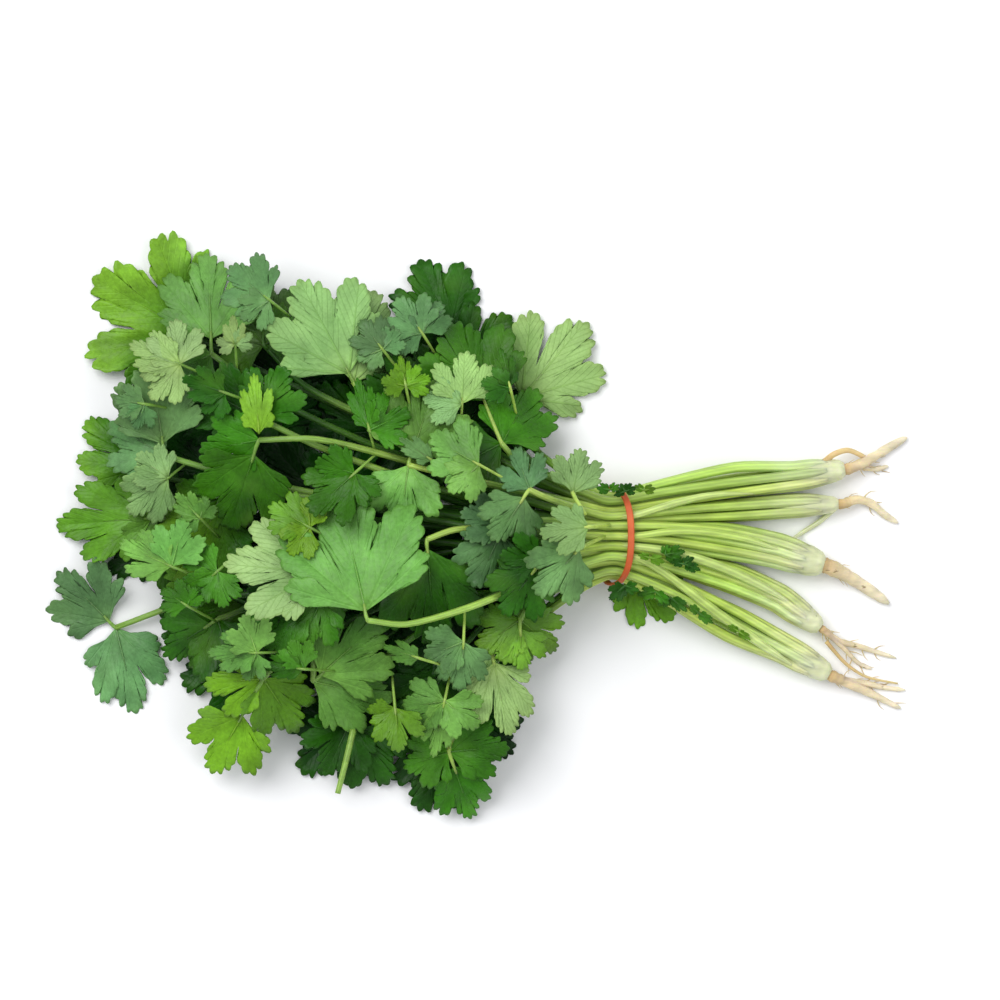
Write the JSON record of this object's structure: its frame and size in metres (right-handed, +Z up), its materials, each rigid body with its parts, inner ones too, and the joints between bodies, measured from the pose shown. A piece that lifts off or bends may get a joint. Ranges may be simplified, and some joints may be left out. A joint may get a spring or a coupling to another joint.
{
  "type": "coriander bunch",
  "caption": "Lying bunch of fresh coriander: rooted plants with pale stems, held at the neck by a rubber band, toothed lobed leaves spread in a fan.",
  "frame": {"origin": "the flat spot under the rubber band, on the surface that the bunch lies on", "axes": "+X along the stems towards the roots, +Y across the bunch, +Z up from the surface"},
  "size_m": [0.2819, 0.1913, 0.0483],
  "materials": {
    "leaf_deep": "satin leaf, veined",
    "leaf_mid": "satin leaf, veined",
    "leaf_bright": "satin leaf, veined",
    "leaf_light": "satin leaf, veined",
    "leaf_blue": "satin leaf, veined",
    "leaf_pale": "satin leaf, veined",
    "leaf_olive": "satin leaf, veined",
    "stem": "smooth, faintly ribbed",
    "root": "dull, lined",
    "rubber_band": "matte rubber"
  },
  "bodies": {
    "root": {"leaf_01": "leaf_deep", "leaf_02": "leaf_deep", "leaf_03": "leaf_deep", "leaf_04": "leaf_deep", "leaf_05": "leaf_deep", "leaf_06": "leaf_deep", "leaf_07": "leaf_deep", "leaf_08": "leaf_deep", "leaf_09": "leaf_deep", "leaf_10": "leaf_deep", "leaf_11": "leaf_deep", "leaf_12": "leaf_deep", "leaf_13": "leaf_deep", "leaf_14": "leaf_bright", "leaf_15": "leaf_olive", "leaf_16": "leaf_light", "leaf_17": "leaf_blue", "leaf_18": "leaf_bright", "leaf_19": "leaf_bright", "leaf_20": "leaf_bright", "leaf_21": "leaf_blue", "leaf_22": "leaf_deep", "leaf_23": "leaf_bright", "leaf_24": "leaf_deep", "leaf_25": "leaf_mid", "leaf_26": "leaf_pale", "leaf_27": "leaf_light", "leaf_28": "leaf_pale", "leaf_29": "leaf_pale", "leaf_30": "leaf_deep", "leaf_31": "leaf_deep", "leaf_32": "leaf_blue", "leaf_33": "leaf_bright", "leaf_34": "leaf_mid", "leaf_35": "leaf_mid", "leaf_36": "leaf_pale", "leaf_37": "leaf_mid", "leaf_38": "leaf_light", "leaf_39": "leaf_bright", "leaf_40": "leaf_mid", "leaf_41": "leaf_light", "leaf_42": "leaf_blue", "leaf_43": "leaf_blue", "leaf_44": "leaf_deep", "side_leaf_1": "leaf_blue", "side_leaf_2": "leaf_pale", "side_leaf_3": "leaf_pale", "floor_leaf": "leaf_bright", "plant_a": "stem", "root_a": "root", "plant_b": "stem", "root_b": "root", "plant_c": "stem", "root_c": "root", "plant_d": "stem", "root_d": "root", "plant_e": "stem", "root_e": "root", "rubber_band": "rubber_band"}
  },
  "joints": []
}
